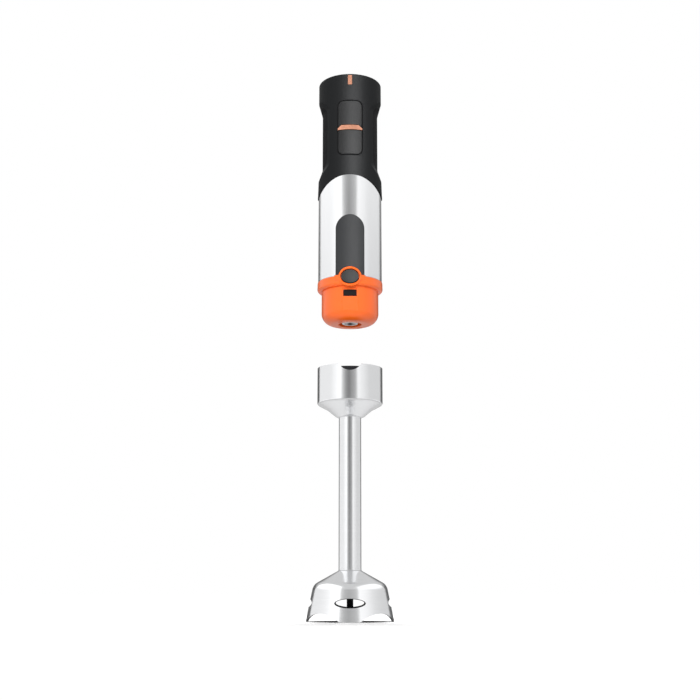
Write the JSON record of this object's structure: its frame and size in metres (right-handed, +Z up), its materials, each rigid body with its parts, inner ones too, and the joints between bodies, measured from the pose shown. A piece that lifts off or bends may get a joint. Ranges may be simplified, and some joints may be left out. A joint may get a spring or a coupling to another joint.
{
  "type": "immersion blender",
  "caption": "Stick blender: a round motor unit with push buttons and a top dial, standing clear above a steel blending leg with a guarded blade.",
  "frame": {"origin": "centre of the ring of feet under the blade guard, on the floor the leg stands on", "axes": "+Z up along the common axis of leg and motor unit, -Y the front, with the push buttons, the release button and the notch in the collar"},
  "size_m": [0.071, 0.071, 0.4629],
  "materials": {
    "leg_steel": "satin brushed stainless steel, grain around the axis",
    "sleeve_steel": "brushed stainless steel, grain along the axis",
    "blade_steel": "ground stainless steel",
    "shaft_steel": "dark oxide finish",
    "drive_metal": "sintered steel",
    "soft_black": "soft-touch black",
    "grip_rubber": "fine ribbed black rubber",
    "button_black": "soft-touch charcoal",
    "dial_black": "soft-touch black",
    "copper_trim": "satin copper plating",
    "coupling_orange": "satin orange",
    "inlay_charcoal": "satin charcoal",
    "release_slate": "satin dark slate",
    "liner_black": "satin black",
    "seal_rubber": "matt black",
    "bronze": "sintered bronze",
    "spring_steel": "bright wire",
    "screw_steel": "zinc plated",
    "board_green": "solder resist",
    "component_black": "moulded case",
    "capacitor_yellow": "moulded case",
    "sink_aluminium": "extruded aluminium",
    "housing_grey": "moulded grey",
    "lamination_steel": "stacked laminations",
    "winding_copper": "enamelled copper wire",
    "commutator_copper": "turned copper",
    "carbon": "pressed carbon",
    "fan_white": "moulded natural nylon",
    "bearing_steel": "ground bearing steel"
  },
  "bodies": {
    "leg": {"collar": "leg_steel", "collar_liner": "liner_black", "liner_floor": "liner_black", "leg_tube": "leg_steel", "bell_guard": "leg_steel", "bell_hub": "liner_black", "upper_bush": "bronze", "middle_bush": "bronze", "lower_bush": "bronze", "leg_shaft_seal": "seal_rubber"},
    "blade_drive": {"blade_shaft": "drive_metal", "driven_coupling": "drive_metal", "shaft_clip": "spring_steel", "blade_carrier": "shaft_steel", "blade": "blade_steel", "blade_nut": "blade_steel"},
    "motor_unit": {"coupling_housing": "coupling_orange", "socket_seal": "seal_rubber", "release_spring": "spring_steel", "steel_sleeve": "sleeve_steel", "front_inlay": "inlay_charcoal", "motor_housing": "housing_grey", "handle_shell": "soft_black", "grip_pads": "grip_rubber", "top_cap": "soft_black", "pointer_mark": "copper_trim", "cable_gland": "seal_rubber", "button_divider": "copper_trim", "switch_board": "board_green", "board_screws": "screw_steel", "microswitches": "component_black", "speed_board": "board_green", "potentiometer": "component_black", "filter_capacitor": "capacitor_yellow", "heat_sink": "sink_aluminium", "speed_button_spring": "spring_steel", "turbo_button_spring": "spring_steel", "stator_core": "lamination_steel", "field_coils": "winding_copper", "lower_bracket": "housing_grey", "upper_bracket": "housing_grey", "lower_bearing": "bearing_steel", "upper_bearing": "bearing_steel", "motor_bolts": "screw_steel", "brush_holders": "housing_grey", "carbon_brushes": "carbon", "brush_springs": "spring_steel"},
    "rotor": {"rotor_shaft": "drive_metal", "armature_core": "lamination_steel", "armature_winding": "winding_copper", "commutator": "commutator_copper", "cooling_fan": "fan_white", "drive_socket": "drive_metal"},
    "speed_button": {"speed_button": "button_black"},
    "turbo_button": {"turbo_button": "button_black"},
    "release": {"release_button": "release_slate", "latch_slider": "component_black"},
    "dial": {"speed_dial": "dial_black", "dial_mark": "copper_trim"}
  },
  "joints": [
    {"name": "unit_lift", "type": "slide", "parent": "leg", "child": "motor_unit", "axis": [0, 0, 1], "range_m": [-0.0655, 0]},
    {"name": "motor_spin", "type": "hinge", "parent": "motor_unit", "child": "rotor", "pos_m": [0, 0, 0.32], "axis": [0, 0, 1], "continuous": true},
    {"name": "blade_spin", "type": "hinge", "parent": "leg", "child": "blade_drive", "pos_m": [0, 0, 0.1], "axis": [0, 0, 1], "continuous": true},
    {"name": "speed_press", "type": "slide", "parent": "motor_unit", "child": "speed_button", "axis": [0, 1, 0], "range_m": [0, 0.0018], "stiffness_N_per_m": 500, "springref_m": -0.004, "deforming": ["speed_button_spring"]},
    {"name": "turbo_press", "type": "slide", "parent": "motor_unit", "child": "turbo_button", "axis": [0, 1, 0], "range_m": [0, 0.0018], "stiffness_N_per_m": 500, "springref_m": -0.004, "deforming": ["turbo_button_spring"]},
    {"name": "release_press", "type": "slide", "parent": "motor_unit", "child": "release", "axis": [0, 1, 0], "range_m": [0, 0.0018], "stiffness_N_per_m": 600, "springref_m": -0.003, "deforming": ["release_spring"]},
    {"name": "dial_turn", "type": "hinge", "parent": "motor_unit", "child": "dial", "pos_m": [0, -0.0035, 0.4596], "axis": [0, 0, 1], "range_deg": [-135, 135]}
  ],
  "couplings": [
    {"joint": "blade_spin", "follows": "motor_spin", "ratio": 1}
  ]
}
